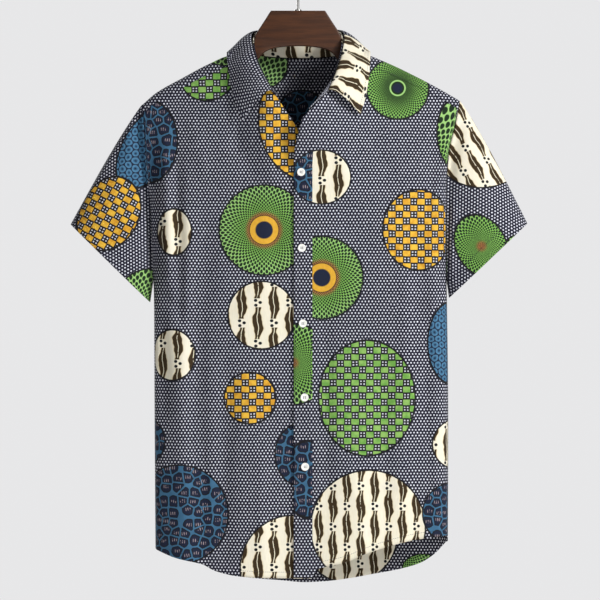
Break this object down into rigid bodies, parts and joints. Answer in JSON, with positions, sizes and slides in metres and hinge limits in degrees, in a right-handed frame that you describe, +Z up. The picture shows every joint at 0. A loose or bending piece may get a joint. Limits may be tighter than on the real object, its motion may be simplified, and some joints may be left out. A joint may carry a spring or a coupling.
{
  "type": "short-sleeved print shirt on a wooden hanger",
  "caption": "Short-sleeved button shirt in wax-print cotton, hung open at the neck on a flat wooden hanger with a steel hook.",
  "frame": {"origin": "inner top of the hanger's hook, where a rail holds it", "axes": "+Z up, the shirt's front faces -Y, +X is the wearer's left and the right of a front view"},
  "size_m": [0.632, 0.1278, 0.8689],
  "materials": {
    "print_cotton": "plain-woven cotton, printed navy with white dots, soft sheen",
    "button_plastic": "white four-hole button",
    "stained_wood": "dark brown stain, satin varnish",
    "hook_steel": "plated steel wire"
  },
  "bodies": {
    "root": {"front_right": "print_cotton", "front_left": "print_cotton", "back": "print_cotton", "yoke": "print_cotton", "sleeve_right": "print_cotton", "sleeve_left": "print_cotton", "placket": "print_cotton", "collar_stand": "print_cotton", "collar_fall": "print_cotton", "button_1": "button_plastic", "button_2": "button_plastic", "button_3": "button_plastic", "button_4": "button_plastic", "button_5": "button_plastic", "hanger_wood": "stained_wood", "hanger_hook": "hook_steel"}
  },
  "joints": []
}
